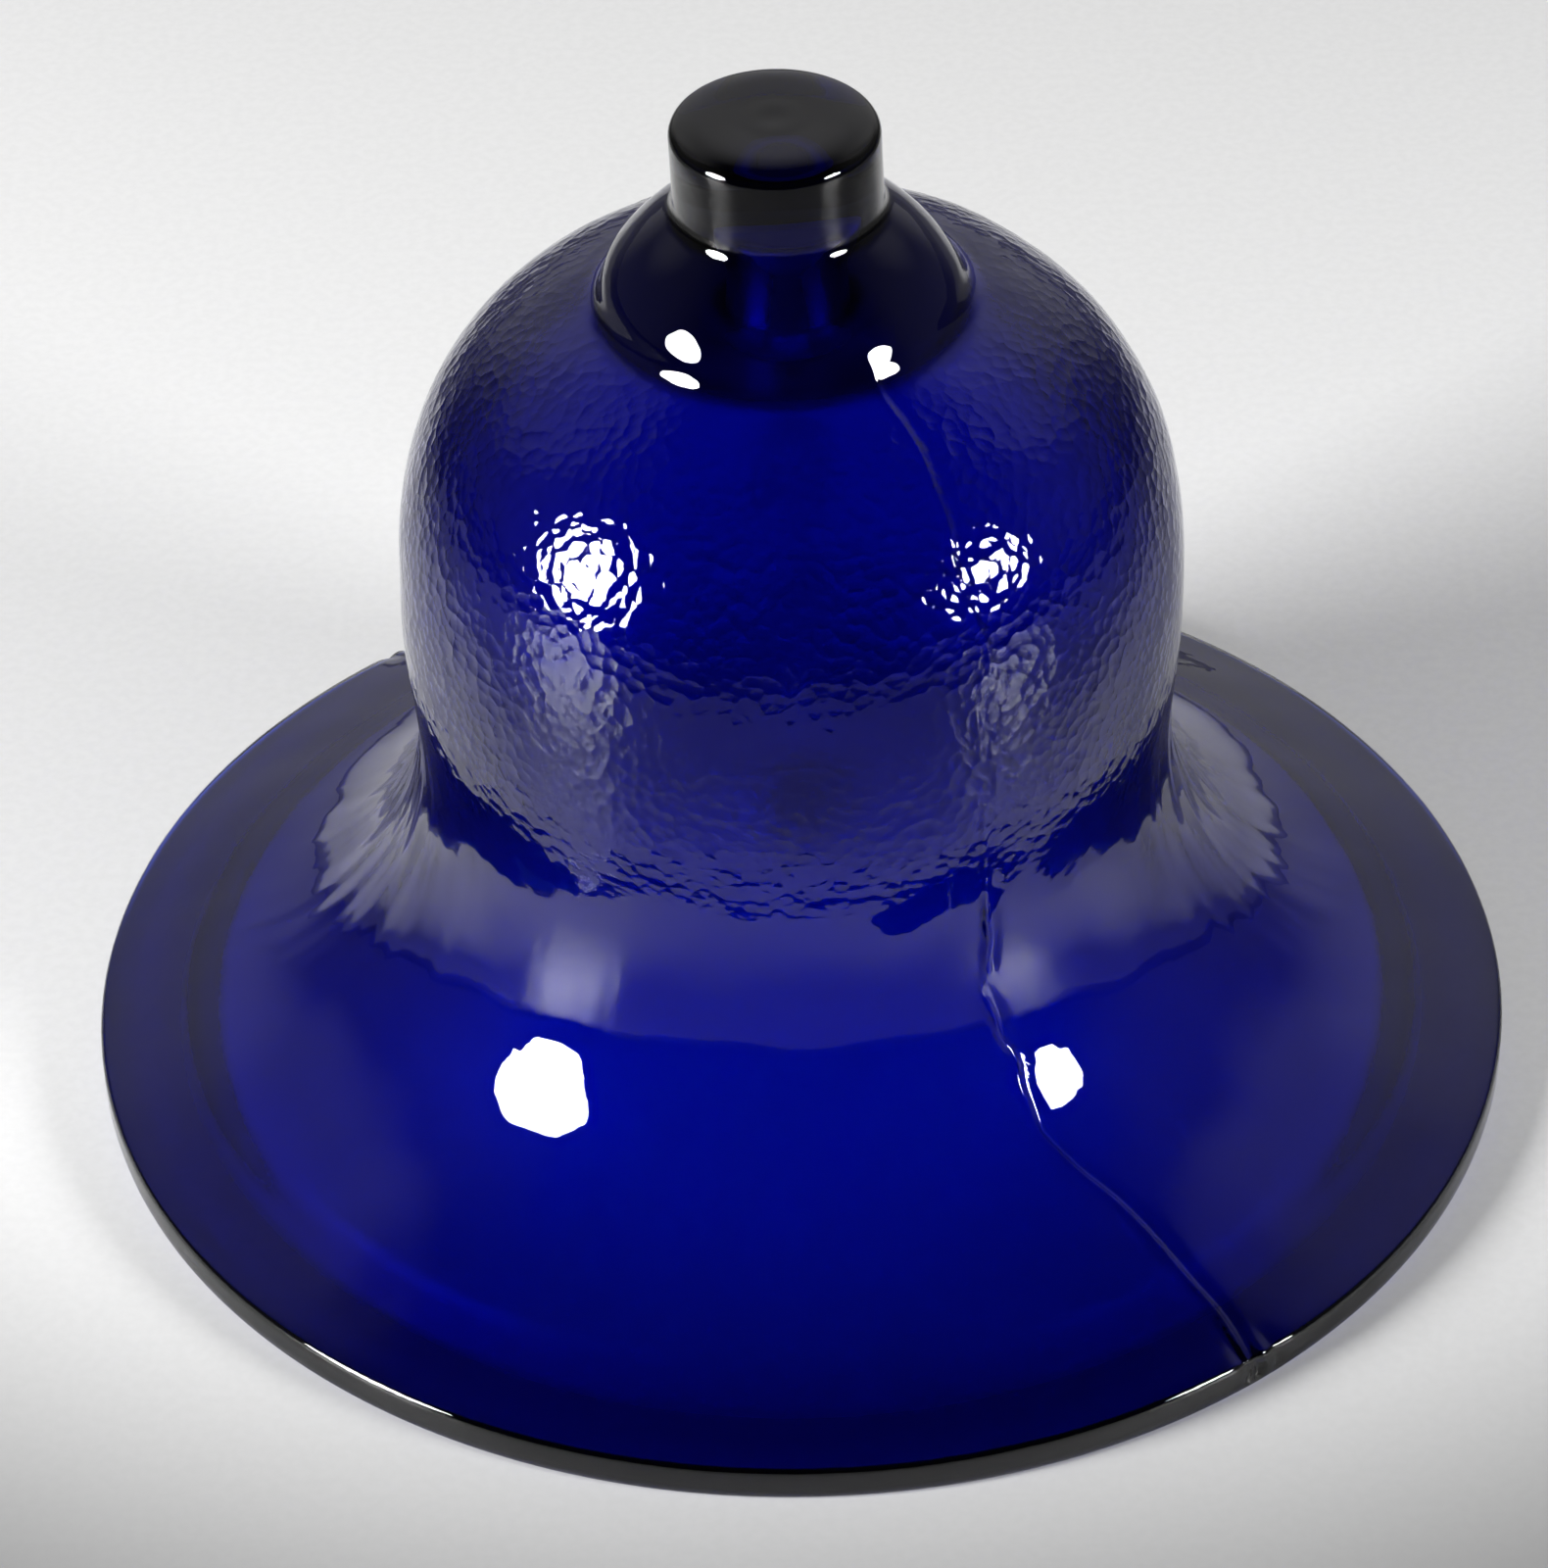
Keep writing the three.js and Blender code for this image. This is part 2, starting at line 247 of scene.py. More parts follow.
def plaster_material():
    material, nodes, shader, output, where = new_material("plaster")
    patch = nodes.noise(where, 500, 4)
    grit = nodes.noise(where, 5200, 3, 0.7)
    colour = nodes.blend(nodes.step(patch, 0.35, 0.7), (0.66, 0.63, 0.55, 1), (0.5, 0.46, 0.38, 1))
    normal = nodes.bump(grit, 0.0001)
    feed(nodes, shader, Base_Color=colour, Roughness=nodes.step(grit, 0.3, 0.7, 0.8, 0.98))
    feed(nodes, shader, Normal=normal)
    return material


plaster = plaster_material()
bead_glass = glass_material(
    "bead_glass",
    tints=((0.5, 0.6, 0.98, 1), (0.42, 0.52, 0.97, 1)),
    absorb_colour=(0.3, 0.62, 0.93, 1),
    absorb_density=250,
    dent=(0.00003, 0.0016),
    ripple=(0.00002, 0.003),
    dull=0.0,
)

# ---------------------------------------------------------------- glass bell
# The same outline as the CAD solid, in millimetres, with many more points.

bell_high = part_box("glass_bell")[1]
HEIGHT = bell_high.z / MM
RIM_RADIUS = bell_high.x / MM
WALL = 4.0
BRIM_SLOPE = 69.5
EDGE_ROUND = 0.8
FOOT_WIDTH = 8.7
FOOT_RISE_WIDTH = 4.8
FOOT_RISE_PULL = 2.0
FLARE_RADIUS = 30.8
WAIST_RADIUS = 36.5
WAIST_Z = 37.5
SIDE_PULL = 0.4
DOME_OUTSIDE = (37.3, 52.0, 35.6, 2.75)  # radius and height at its widest, rise, fullness
DOME_INSIDE = (33.3, 51.0, 32.0, 2.4)
NECK_FOOT_RADIUS = 19.0
NECK_FOOT_SLOPE = 72.0
NECK_SHOULDER_SLOPE = 52.0
NECK_SHOULDER_PULL = 3.2
NECK_BEND = (16.5, 88.6)
NECK_BEND_SLOPE = 20.0
NECK_PULL = 1.6
NECK_FILLET = 2.5
NECK_TOP_Z = 97.4
KNOB_RADIUS = 9.7
KNOB_FLAT_RADIUS = 6.1
KNOB_CROWN_SLOPE = 18.0
KNOB_ROUND = 1.4
SOCKET_RADIUS = 4.0
SOCKET_TOP = 95.0

TURN_STEPS = 376
SEAMS = (math.radians(28), math.radians(208))  # azimuths of the mould's two seams, on the flare
SEAM_CROWD = (0.13, math.radians(1.6))  # share of the steps crowded to the seams, and how close


def arc(r, z, radius, start, end, steps):
    angles = np.radians(np.linspace(start, end, steps + 1))
    return np.stack([r + radius * np.cos(angles), z + radius * np.sin(angles)], axis=1)


def bezier(a, b, c, d, steps):
    t = np.linspace(0, 1, steps + 1)[:, None]
    a, b, c, d = (np.array(p, float) for p in (a, b, c, d))
    return a * (1 - t) ** 3 + 3 * b * t * (1 - t) ** 2 + 3 * c * t**2 * (1 - t) + d * t**3


def line(a, b, steps):
    t = np.linspace(0, 1, steps + 1)[:, None]
    return np.array(a, float) * (1 - t) + np.array(b, float) * t


def joined(*stretches):
    points = np.concatenate(stretches)
    keep = np.ones(len(points), bool)
    keep[1:] = np.linalg.norm(np.diff(points, axis=0), axis=1) > 1e-6
    return points[keep]


def dome_profile(dome, top_radius, steps):
    radius, z, rise, fullness = dome
    power = 2 / fullness
    lift = math.acos((top_radius / radius) ** (1 / power))
    angle = np.linspace(lift, 0, steps + 1)
    return np.stack([radius * np.cos(angle) ** power, z + rise * np.sin(angle) ** power], axis=1)


def wall_profile(dome, inset, top_radius, dome_steps, side_steps, flare_steps):
    radius, z = dome[:2]
    side = bezier(
        (radius, z),
        (radius, z + SIDE_PULL * (WAIST_Z - z)),
        (WAIST_RADIUS - inset, WAIST_Z + SIDE_PULL * (z - WAIST_Z)),
        (WAIST_RADIUS - inset, WAIST_Z),
        side_steps,
    )
    flare = arc(
        WAIST_RADIUS + FLARE_RADIUS, WAIST_Z, FLARE_RADIUS + inset, 180, 180 + BRIM_SLOPE, flare_steps
    )
    return joined(dome_profile(dome, top_radius, dome_steps), side, flare)


def knob_profile():
    """The knob's crowned top, its edge round and its side."""
    slope = math.radians(KNOB_CROWN_SLOPE)
    round_r = KNOB_RADIUS - KNOB_ROUND
    crown = (round_r + KNOB_ROUND * math.sin(slope) - KNOB_FLAT_RADIUS) / math.sin(slope)
    round_z = HEIGHT - crown * (1 - math.cos(slope)) - KNOB_ROUND * math.cos(slope)
    return joined(
        line((0, HEIGHT), (KNOB_FLAT_RADIUS, HEIGHT), 9),
        arc(KNOB_FLAT_RADIUS, HEIGHT - crown, crown, 90, 90 - KNOB_CROWN_SLOPE, 4),
        arc(round_r, round_z, KNOB_ROUND, 90 - KNOB_CROWN_SLOPE, 0, 6),
        line((KNOB_RADIUS, round_z), (KNOB_RADIUS, NECK_TOP_Z), 5),
    )


def neck_profile():
    """From the knob's side: a fillet, a sloping shoulder, a steeper side and the turn onto the dome."""

    def down(slope, pull=NECK_PULL):
        return np.array([math.sin(math.radians(slope)), -math.cos(math.radians(slope))]) * pull

    fillet = arc(
        KNOB_RADIUS + NECK_FILLET, NECK_TOP_Z, NECK_FILLET, 180, 180 + NECK_SHOULDER_SLOPE, 7
    )
    top, bend, foot = fillet[-1], np.array(NECK_BEND), dome_profile(DOME_OUTSIDE, NECK_FOOT_RADIUS, 1)[0]
    turn = down(NECK_BEND_SLOPE)
    shoulder = bezier(top, top + down(NECK_SHOULDER_SLOPE, NECK_SHOULDER_PULL), bend - turn, bend, 7)
    side = bezier(bend, bend + turn, foot - down(NECK_FOOT_SLOPE), foot, 7)
    return joined(fillet, shoulder, side)


def bell_profile():
    """(points, number on the outside down to the rim's edge, number down to the flat foot's end)"""
    outside = wall_profile(DOME_OUTSIDE, 0, NECK_FOOT_RADIUS, dome_steps=44, side_steps=12, flare_steps=42)
    inside = wall_profile(DOME_INSIDE, WALL, SOCKET_RADIUS, dome_steps=28, side_steps=8, flare_steps=26)
    fall = 1 / math.tan(math.radians(BRIM_SLOPE))
    edge_r = RIM_RADIUS - EDGE_ROUND
    lip_r = edge_r + EDGE_ROUND * math.cos(math.radians(BRIM_SLOPE))
    brim_r, brim_z = outside[-1]
    lip_z = brim_z - (lip_r - brim_r) * fall
    edge_z = lip_z - EDGE_ROUND * math.sin(math.radians(BRIM_SLOPE))
    foot_r = RIM_RADIUS - FOOT_WIDTH
    rise_r = foot_r - FOOT_RISE_WIDTH
    rise_z = inside[-1][1] - (rise_r - inside[-1][0]) * fall
    outer = joined(
        knob_profile(),
        neck_profile(),
        outside,
        line(outside[-1], (lip_r, lip_z), 12),
        arc(edge_r, edge_z, EDGE_ROUND, BRIM_SLOPE, 0, 4),
        line((RIM_RADIUS, edge_z), (RIM_RADIUS, EDGE_ROUND), 4),
    )
    foot = joined(
        arc(edge_r, EDGE_ROUND, EDGE_ROUND, 0, -90, 4),
        line((edge_r, 0), (foot_r, 0), 4),
    )
    inner = joined(
        bezier(
            (foot_r, 0),
            (foot_r - FOOT_RISE_PULL, 0),
            (rise_r + FOOT_RISE_PULL, rise_z - FOOT_RISE_PULL * fall),
            (rise_r, rise_z),
            9,
        ),
        line((rise_r, rise_z), inside[-1], 5),
        inside[::-1],
        line(inside[0], (SOCKET_RADIUS, SOCKET_TOP), 8),
        line((SOCKET_RADIUS, SOCKET_TOP), (0, SOCKET_TOP), 2),
    )
    profile = joined(outer, foot, inner)
    return profile, len(outer), len(joined(outer, foot))


def waves(points, size, seed, count=28):
    """A smooth random field, mostly between -1 and 1, whose features are about `size` across."""
    rng = np.random.default_rng(seed)
    ways = rng.normal(size=(count, points.shape[1]))
    ways /= np.linalg.norm(ways, axis=1, keepdims=True)
    ways *= rng.uniform(0.7, 1.3, size=(count, 1)) * (2 * math.pi / size)
    phases = rng.uniform(0, 2 * math.pi, size=count)
    return np.cos(points @ ways.T + phases).sum(axis=1) / math.sqrt(count)


def smooth(x, low, high):
    t = np.clip((x - low) / (high - low), 0, 1)
    return t * t * (3 - 2 * t)


def hump(x, width):
    return np.exp(-((x / width) ** 2))


def apart(a, b):
    """The angle from b to a, between -pi and pi."""
    return (a - b + math.pi) % (2 * math.pi) - math.pi


def crowded_azimuths():
    """Azimuths round the bell, with more of them near the seams."""
    share, width = SEAM_CROWD
    fine = np.linspace(0, 2 * math.pi, 20001)
    density = np.full_like(fine, (1 - share) / (2 * math.pi))
    for seam in SEAMS:
        density += share / 2 * hump(apart(fine, seam), width) / (width * math.sqrt(math.pi))
    total = np.concatenate([[0], np.cumsum((density[1:] + density[:-1]) / 2 * np.diff(fine))])
    return np.interp(np.arange(TURN_STEPS) / TURN_STEPS * total[-1], total, fine)


# The unevenness of a pressed piece, in millimetres. A zone is four heights, as `within` takes
# them. A layer of waves is its depth, its size and its random seed.
WALL_ZONE = (2, 8, 88, 92)
WALL_WAVES = ((0.09, 26, 1), (0.04, 9, 2))
DOME_ZONE = (42, 50, 84, 88)
DOME_WAVES = ((0.006, 3.0, 3),)
DENTED_ZONE = (40, 52, 83, 87)
INNER_ZONE = (5, 12, 80, 83)
INNER_WAVES = ((0.07, 30, 7), (0.012, 8, 8))

PLEAT_SIDES = ((math.radians(100), 0.45), (math.radians(262), 0.4))  # azimuth and reach, radians
PLEAT_RADIUS = 37  # the pleats' waves are laid round a circle of this radius
PLEAT_STRETCH = 0.08  # down the flare they change at this share of their rate round it
PLEAT_Z = 33
PLEAT_REACH_Z = 9
PLEAT_WAVES = ((0.12, 4.4, 5), (0.07, 2.4, 6))
STREAK_ZONE = (6, 16, 36, 46)
STREAK_DEPTH = 0.010
STREAK_SIDE_DEPTH = 0.045  # added at the two sides
STREAK_WAVES = ((1, 2.2, 9),)

SEAM_DRIFT = math.radians(9)  # how far the seams drift round on their way to the rim
SEAM_DRIFT_Z = (1, 26)
SEAM_DRIFT_REACH = math.radians(40)
SEAM_HEIGHT = 0.40
SEAM_END_Z = (84, 90)
SEAM_FADE_Z = (38, 46)
SEAM_DOME_LOSS = 0.75  # share of its height that a seam loses on the dome
SEAM_BREAKS = (-1.8, -0.3)
NOTCH_DEPTH = 0.55
NOTCH_Z = (3.4, 5.6)
NOTCH_RADIUS = (67.5, 69.5)

KNOB_TOP_Z = NECK_TOP_Z + 4  # the knob's top lies above this
KNOB_DIMPLE = (0.10, 1.5)  # depth and radius
KNOB_RING = (0.05, 3.4, 0.7)  # depth, radius and half width
NECK_OFFSET = 0.5
NECK_OFFSET_Z = (84, 91)
KNOB_LEAN = 0.03  # sideways for each millimetre above the neck


def within(z, zone):
    """1 between the zone's two middle heights, falling smoothly to 0 at its outer two."""
    return smooth(z, *zone[:2]) * (1 - smooth(z, *zone[2:]))


def layered(points, layers):
    """Waves added together, from (depth, size, seed) layers."""
    return sum(depth * waves(points, size, seed) for depth, size, seed in layers)


def pleat_shift(a, z):
    """Pleats and streaks that run down the flare, deepest beside the waist at the two sides."""
    wrapped = np.stack([np.sin(a) * PLEAT_RADIUS, np.cos(a) * PLEAT_RADIUS, z * PLEAT_STRETCH], axis=1)
    side = sum(hump(apart(a, azimuth), reach) for azimuth, reach in PLEAT_SIDES)
    pleats = hump(z - PLEAT_Z, PLEAT_REACH_Z) * side * layered(wrapped, PLEAT_WAVES)
    depth = STREAK_DEPTH + STREAK_SIDE_DEPTH * side
    return pleats + within(z, STREAK_ZONE) * depth * layered(wrapped, STREAK_WAVES)


def seam_shift(column, r, z):
    """Thin broken ridges where the mould's halves met, and a notch in the rim below each."""
    heights = z[:, None]
    total = np.zeros(len(z))
    for number, seam in enumerate(SEAMS):
        wander = layered(heights, ((0.6, 13, 20 + number), (0.2, 4, 30 + number)))
        across = apart(column, seam) * r - wander
        unbroken = smooth(waves(heights, 9, 40 + number), *SEAM_BREAKS)
        strength = unbroken * (1 - SEAM_DOME_LOSS * smooth(z, *SEAM_FADE_Z))
        ridge = hump(across, 0.35) - 0.6 * hump(across - 0.9, 0.5)
        total += (1 - smooth(z, *SEAM_END_Z)) * SEAM_HEIGHT * strength * ridge
        notch = hump(across, 0.9) + 0.5 * hump(across - 3.2, 0.7)
        total -= (1 - smooth(z, *NOTCH_Z)) * smooth(r, *NOTCH_RADIUS) * NOTCH_DEPTH * notch
    return total


def knob_shift(r, z):
    """A shallow dimple inside a faint ring, both sunk in the knob's top."""
    dimple_depth, dimple_radius = KNOB_DIMPLE
    ring_depth, ring_radius, ring_width = KNOB_RING
    sunk = dimple_depth * hump(r, dimple_radius) + ring_depth * hump(r - ring_radius, ring_width)
    return -sunk * (z > KNOB_TOP_Z)


def outward_normals(profile):
    """Unit normals out of the glass, for a profile that runs down the outside."""
    step = np.zeros_like(profile)
    step[1:-1] = profile[2:] - profile[:-2]
    step[0] = profile[1] - profile[0]
    step[-1] = profile[-1] - profile[-2]
    step /= np.linalg.norm(step, axis=1, keepdims=True)
    return np.stack([-step[:, 1], step[:, 0]], axis=1)


def ring_faces(rings):
    """Faces over rings of TURN_STEPS points, with one more point before them and one after."""
    here = np.arange(TURN_STEPS)
    ahead = np.roll(here, -1)
    faces = []
    for j in range(rings - 1):
        a, b = 1 + j * TURN_STEPS, 1 + (j + 1) * TURN_STEPS
        faces += np.stack([a + here, b + here, b + ahead, a + ahead], axis=1).tolist()
    last = 1 + (rings - 1) * TURN_STEPS
    faces += [[0, 1 + i, 1 + ahead[i]] for i in here]
    faces += [[last + TURN_STEPS, last + ahead[i], last + i] for i in here]
    return faces


def bell_shape():
    """Vertices, faces and point layers of the bell's glass, with a pressed piece's unevenness."""
    profile, outer_end, foot_end = bell_profile()
    rows = len(profile)
    row = np.repeat(np.arange(rows), TURN_STEPS)
    r, z = profile[row].T
    out_r, out_z = outward_normals(profile)[row].T
    column = np.tile(crowded_azimuths(), rows)

    # the columns of points lean with the seams, which drift round towards the rim
    drift = SEAM_DRIFT * (1 - smooth(z, *SEAM_DRIFT_Z))
    a = column + drift * sum(hump(apart(column, seam), SEAM_DRIFT_REACH) for seam in SEAMS)
    at = np.stack([r * np.sin(a), -r * np.cos(a), z], axis=1)

    outer = row < outer_end
    inner = row >= foot_end
    outside = within(z, WALL_ZONE) * layered(at, WALL_WAVES)
    outside += within(z, DOME_ZONE) * layered(at, DOME_WAVES)
    outside += pleat_shift(a, z) + seam_shift(column, r, z) + knob_shift(r, z)
    inside = within(z, INNER_ZONE) * layered(at, INNER_WAVES)
    shift = outer * outside + inner * inside
    at[:, 0] += shift * out_r * np.sin(a)
    at[:, 1] -= shift * out_r * np.cos(a)
    at[:, 2] += shift * out_z

    # the neck sits a little off centre, and the knob leans
    lean = NECK_OFFSET * smooth(z, *NECK_OFFSET_Z) + KNOB_LEAN * np.clip(z - NECK_TOP_Z, 0, None)
    at[:, 0] -= outer * lean

    # never beyond the solid bell's box
    reach = np.hypot(at[:, 0], at[:, 1])
    at[:, :2] *= np.minimum(1, RIM_RADIUS / np.maximum(reach, 1e-9))[:, None]
    at[:, 2] = np.clip(at[:, 2], 0, HEIGHT)

    # each end of the profile lies on the axis and needs only one point
    keep = np.concatenate([[0], np.arange(TURN_STEPS, len(at) - TURN_STEPS), [len(at) - 1]])
    dented = (outer * within(z, DENTED_ZONE))[keep]
    duller = inner[keep].astype(float)
    return at[keep] * MM, ring_faces(rows - 2), {TEXTURE: dented, INSIDE: duller}


def mesh_piece(name, vertices, faces, material, body, node):
    """A smooth mesh that rides on a body and stands for a CAD node."""
    mesh = bpy.data.meshes.new(name)
    mesh.from_pydata([tuple(v) for v in vertices], [], faces)
    mesh.materials.append(material)
    mesh.polygons.foreach_set("use_smooth", [True] * len(mesh.polygons))
    mesh.update()
    piece = bpy.data.objects.new(name, mesh)
    bpy.context.scene.collection.objects.link(piece)
    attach(piece, body)
    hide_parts(node)
    return piece


def glass_bell():
    vertices, faces, layers = bell_shape()
    shell = mesh_piece("pressed_glass_bell", vertices, faces, cobalt, "bell", "glass_bell")
    for layer, values in layers.items():
        shell.data.attributes.new(layer, "FLOAT", "POINT").data.foreach_set("value", values)


glass_bell()

# ---------------------------------------------------------------- hanger, chain and clapper

HANGER_WIRE = 1.6
HANGER_LEG_X = 0.95
HANGER_LEAVE = 50.0
HANGER_SPREAD = 2.4
BEND_PULL = 1.0
LINK_WIRE = 1.3
BUTT_GAP = 0.12
PIN_WIRE = 1.3
EYE_JOIN = -50.0
EYE_CLOSE = 210.0
EYE_PULL = 0.75
PIN_NECK = 3.2
HEAD_RADIUS = 1.5
HEAD_THICK = 0.8
HEAD_OUTLINE = ((0.9, 0), (1, 0.12), (0.95, 0.4), (0.7, 0.68), (0.3, 0.79))  # share of radius, drop
HEAD_CORE = 0.02  # radius at the axis
BORE_RADIUS = 0.95
BEAD_FLAT_Z = 8.1
WASHER_EDGE = 0.08
CHAIN_LINKS = 5
WIRE_END_SHARE = 0.88  # of a wire's radius, at its two ends


def node_box(node):
    """A CAD node's low and high corners in millimetres."""
    return tuple(np.array(corner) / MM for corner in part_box(node))


def tube(path, diameter, sides=20):
    """Round wire along a flat path of (x, z) points, a little thinner at both ends.

    Its faces point inwards, which is a known fault.
    """
    path = np.array(path)
    ahead = np.gradient(path, axis=0)
    ahead /= np.linalg.norm(ahead, axis=1, keepdims=True)
    radii = np.full(len(path), diameter / 2)
    radii[0] = radii[-1] = diameter / 2 * WIRE_END_SHARE
    turn = np.linspace(0, 2 * math.pi, sides, endpoint=False)
    vertices = []
    for (x, z), (dx, dz), radius in zip(path, ahead, radii):
        across, side = radius * np.cos(turn), radius * np.sin(turn)
        vertices.append(np.stack([x - dz * across, side, z + dx * across], axis=1))
    faces = []
    for j in range(len(path) - 1):
        for i in range(sides):
            k = (i + 1) % sides
            faces.append([j * sides + i, j * sides + k, (j + 1) * sides + k, (j + 1) * sides + i])
    faces.append(list(range(sides))[::-1])
    faces.append([(len(path) - 1) * sides + i for i in range(sides)])
    return np.concatenate(vertices), faces


def lathe(profile, steps=64):
    """A ring-shaped solid turned about Z from a closed profile of (r, z) points.

    Its faces point outwards where the profile runs down its outer side.
    """
    profile = np.array(profile)
    turn = np.linspace(0, 2 * math.pi, steps, endpoint=False)
    rows = [np.stack([r * np.cos(turn), r * np.sin(turn), np.full(steps, z)], axis=1) for r, z in profile]
    count = len(profile)
    faces = []
    for j in range(count):
        m = (j + 1) % count
        for i in range(steps):
            k = (i + 1) % steps
            faces.append([j * steps + i, m * steps + i, m * steps + k, j * steps + k])
    return np.concatenate(rows), faces


def put(name, shape, material, body, node, lift=0.0, turned=False):
    """Makes a piece from millimetre shape data, lifted and perhaps turned a quarter round."""
    vertices, faces = shape
    vertices = np.array(vertices)
    if turned:
        vertices = vertices[:, [1, 0, 2]] * (-1, 1, 1)
    vertices[:, 2] += lift
    return mesh_piece(name, vertices * MM, faces, material, body, node)


def hanger_path():
    low, high = node_box("hanger_eye")
    ring = (high[0] - low[0] - HANGER_WIRE) / 2
    centre = low[2] + HANGER_WIRE / 2 + ring
    leave = math.radians(HANGER_LEAVE)
    join = (ring * math.cos(leave), centre + ring * math.sin(leave))
    pull = (BEND_PULL * math.sin(leave), BEND_PULL * math.cos(leave))
    leg_z = join[1] + HANGER_SPREAD
    right = joined(
        line((HANGER_LEG_X, high[2]), (HANGER_LEG_X, leg_z), 8),
        bezier(
            (HANGER_LEG_X, leg_z),
            (HANGER_LEG_X, leg_z - BEND_PULL),
            (join[0] - pull[0], join[1] + pull[1]),
            join,
            12,
        ),
    )
    round_ring = arc(0, centre, ring, HANGER_LEAVE, -180 - HANGER_LEAVE, 60)
    return joined(right, round_ring, right[::-1] * (-1, 1))


def link_path(length, width):
    bend = (width - LINK_WIRE) / 2
    leg = (length - LINK_WIRE) / 2 - bend
    return joined(
        line((bend, BUTT_GAP / 2), (bend, leg), 4),
        arc(0, leg, bend, 0, 180, 24),
        line((-bend, leg), (-bend, -leg), 8),
        arc(0, -leg, bend, 180, 360, 24),
        line((bend, -leg), (bend, -BUTT_GAP / 2), 4),
    )


def pin_path(ring, foot):
    join = math.radians(EYE_JOIN)
    join_at = (ring * math.cos(join), ring * math.sin(join))
    pull = (EYE_PULL * math.sin(join), EYE_PULL * math.cos(join))
    return joined(
        line((0, foot), (0, -PIN_NECK), 10),
        bezier(
            (0, -PIN_NECK),
            (0, -PIN_NECK + EYE_PULL),
            (join_at[0] + pull[0], join_at[1] - pull[1]),
            join_at,
            10,
        ),
        arc(0, 0, ring, EYE_JOIN, EYE_CLOSE, 56),
    )


def merged(*shapes):
    vertices, faces, count = [], [], 0
    for points, polygons in shapes:
        vertices.append(points)
        faces += [[count + i for i in polygon] for polygon in polygons]
        count += len(points)
    return np.concatenate(vertices), faces


def hanger():
    shape = tube(hanger_path(), HANGER_WIRE)
    put("hanger_wire", shape, nickel_wire, "bell", "hanger_eye")


def chain_link(number):
    node = f"chain_link_{number}"
    low, high = node_box(node)
    size = high - low
    turned = size[1] > size[0]
    shape = tube(link_path(size[2], max(size[0], size[1])), LINK_WIRE)
    middle = (low[2] + high[2]) / 2
    put(f"wire_link_{number}", shape, nickel_wire, f"link_{number}", node, middle, turned)


def eye_pin():
    low, high = node_box("clapper_eye_pin")
    ring = (high[0] - low[0] - PIN_WIRE) / 2
    eye_z = high[2] - PIN_WIRE / 2 - ring
    head_top = low[2] + HEAD_THICK - eye_z
    head = [(HEAD_CORE, head_top)]
    head += [(HEAD_RADIUS * share, head_top - drop) for share, drop in HEAD_OUTLINE]
    head += [(HEAD_CORE, head_top - HEAD_THICK)]
    wire = tube(pin_path(ring, head_top - HEAD_THICK / 2), PIN_WIRE)
    pin = merged(wire, lathe(head[::-1], 40))  # reversed, so the head's faces point inwards too
    put("eye_pin", pin, nickel_wire, "clapper", "clapper_eye_pin", eye_z)


def bead():
    low, high = node_box("clapper_bead")
    middle = (low[2] + high[2]) / 2
    radius = (high[0] - low[0]) / 2
    flat = math.degrees(math.asin(BEAD_FLAT_Z / radius))
    ball = arc(0, 0, radius, flat, -flat, 48)
    profile = joined([(BORE_RADIUS, BEAD_FLAT_Z)], ball, [(BORE_RADIUS, -BEAD_FLAT_Z)])
    shape = lathe(profile[::-1], 96)  # reversed, so its faces point inwards, a known fault
    put("glass_bead", shape, bead_glass, "clapper", "clapper_bead", middle)


def washer():
    low, high = node_box("clapper_washer")
    radius = (high[0] - low[0]) / 2
    thick = high[2] - low[2]
    profile = [
        (BORE_RADIUS, WASHER_EDGE),
        (BORE_RADIUS, thick - WASHER_EDGE),
        (BORE_RADIUS + WASHER_EDGE, thick),
        (radius - WASHER_EDGE, thick),
        (radius, thick - WASHER_EDGE),
        (radius, WASHER_EDGE),
        (radius - WASHER_EDGE, 0),
        (BORE_RADIUS + WASHER_EDGE, 0),
    ]
    put("washer", lathe(profile), nickel_sheet, "clapper", "clapper_washer", low[2])


hanger()
for number in range(1, CHAIN_LINKS + 1):
    chain_link(number)
eye_pin()
bead()
washer()
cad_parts["socket_plaster"].material_slots[0].material = plaster

# ---------------------------------------------------------------- floor, light and surroundings

FLOOR_HALF_SIZE = 4.0
FLOOR_DROP = 0.05 * MM  # below the bell's foot
FLOOR_PALE = ((0.80, 0.80, 0.80, 1), (0.83, 0.83, 0.83, 1))
# painted shade: the floor's colour away from its painted pool of light
FLOOR_PAINTED_SHADE = (0.17, 0.17, 0.17, 1)
# painted shade: a near-black floor colour further out, a dark sheet where there is only shade, whose edge
# shows in the glass
FLOOR_PAINTED_DARK_SHADE = (0.025, 0.025, 0.025, 1)
# a painted pool of light: the floor's colour is pale round the bell and behind it, and dims into painted
# shade further off
PAINTED_POOL_CENTRE_Y = 0.095  # the floor is palest round here
PAINTED_POOL_FADE = (0.12, 0.21)  # distances from there over which it goes dim
PAINTED_SHADE_EDGE = (0.405, 0.41)  # distances in front of the bell over which the dim floor goes dark
BACKWARD_STRETCH = 4.0  # both reach this many times as far behind

LAMP_DISTANCE = 0.9
LAMP_AIM = Vector((0, 0, 0.04))
LAMP_RADIANCE = 46
ROOM_LIGHT = 0.012
# Pale parts of the room: azimuth, elevation, the angles from there with full and with no light,
# and strength.
GLOWS = (
    (-112, 18, 10, 55, 0.07),
    (118, 14, 20, 55, 0.08),
    (180, 16, 15, 50, 0.45),
    (-130, 38, 5, 26, 0.2),
    (130, 38, 5, 26, 0.22),
)


